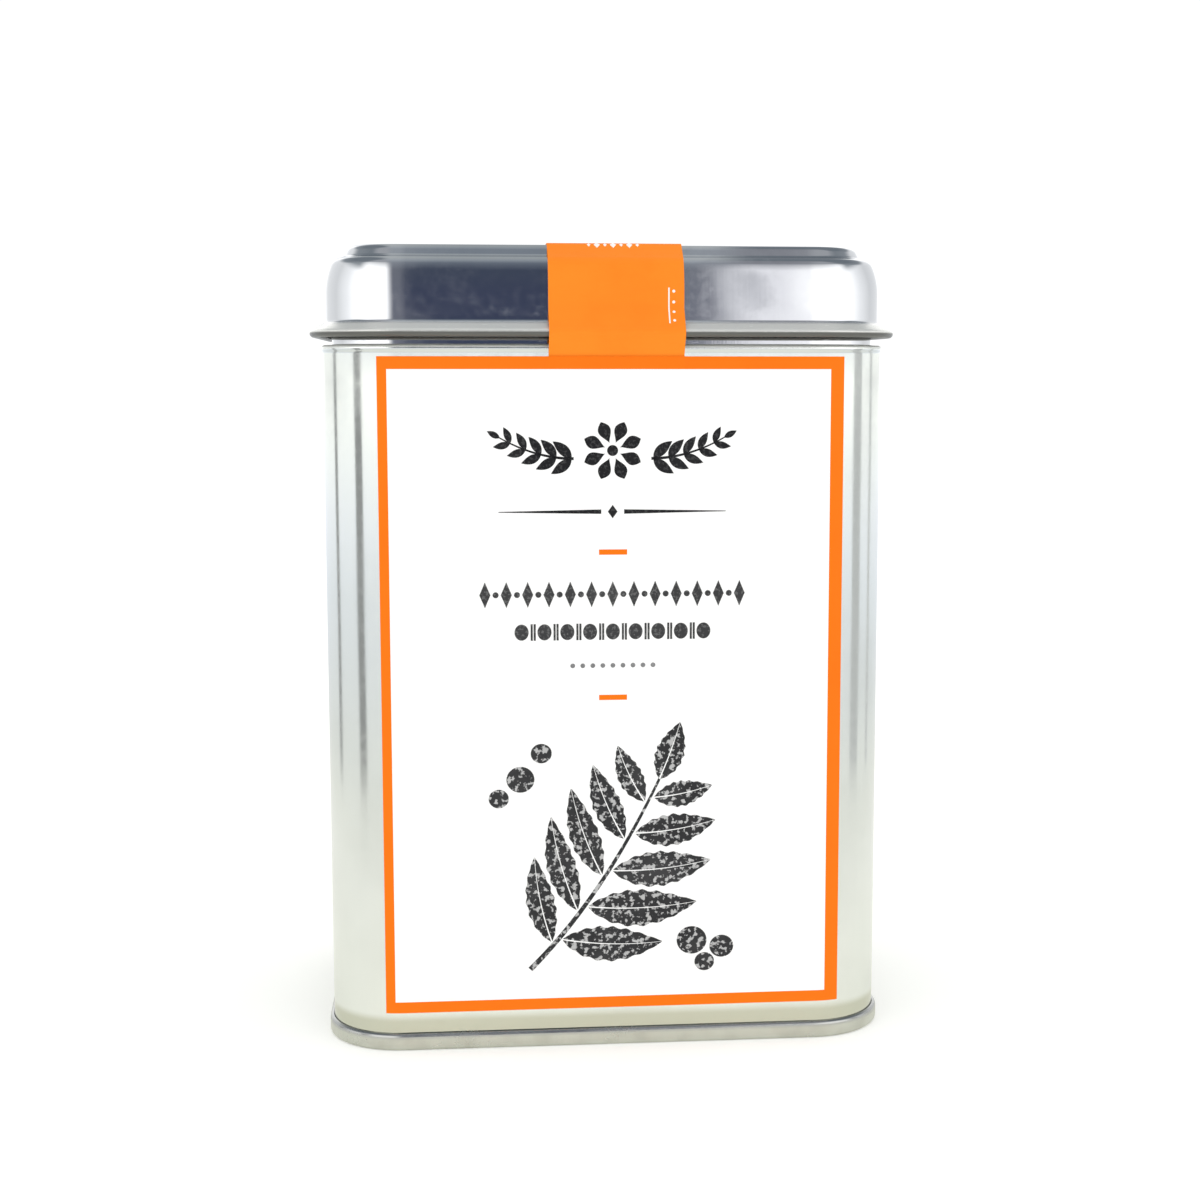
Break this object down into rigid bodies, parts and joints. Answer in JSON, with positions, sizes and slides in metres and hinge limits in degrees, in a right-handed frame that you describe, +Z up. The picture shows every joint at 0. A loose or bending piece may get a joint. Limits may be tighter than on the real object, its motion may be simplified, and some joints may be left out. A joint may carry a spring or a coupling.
{
  "type": "rectangular spice tin with slip-on lid",
  "caption": "Small rectangular tinplate spice tin with rounded corners, a slip-on lid with a raised top and rolled rim, a paper front label and a paper seal strip over the lid.",
  "frame": {"origin": "under the middle of the foot, on the plane the tin stands on", "axes": "+Z up through the lid; the label faces -Y; +X is to the right when the label is looked at"},
  "size_m": [0.0678, 0.0481, 0.0926],
  "materials": {
    "foot_tinplate": "bright tinplate, slightly worn on the foot's edge",
    "body_tinplate": "bright tinplate with faint upright rolling lines",
    "lid_tinplate": "bright pressed tinplate, near mirror",
    "label_paper": "smooth white coated paper with an orange printed border",
    "seal_paper": "smooth orange printed paper"
  },
  "bodies": {
    "root": {"tin_base": "foot_tinplate", "tin_body": "body_tinplate", "lid": "lid_tinplate", "label": "label_paper", "seal_strip": "seal_paper"}
  },
  "joints": []
}
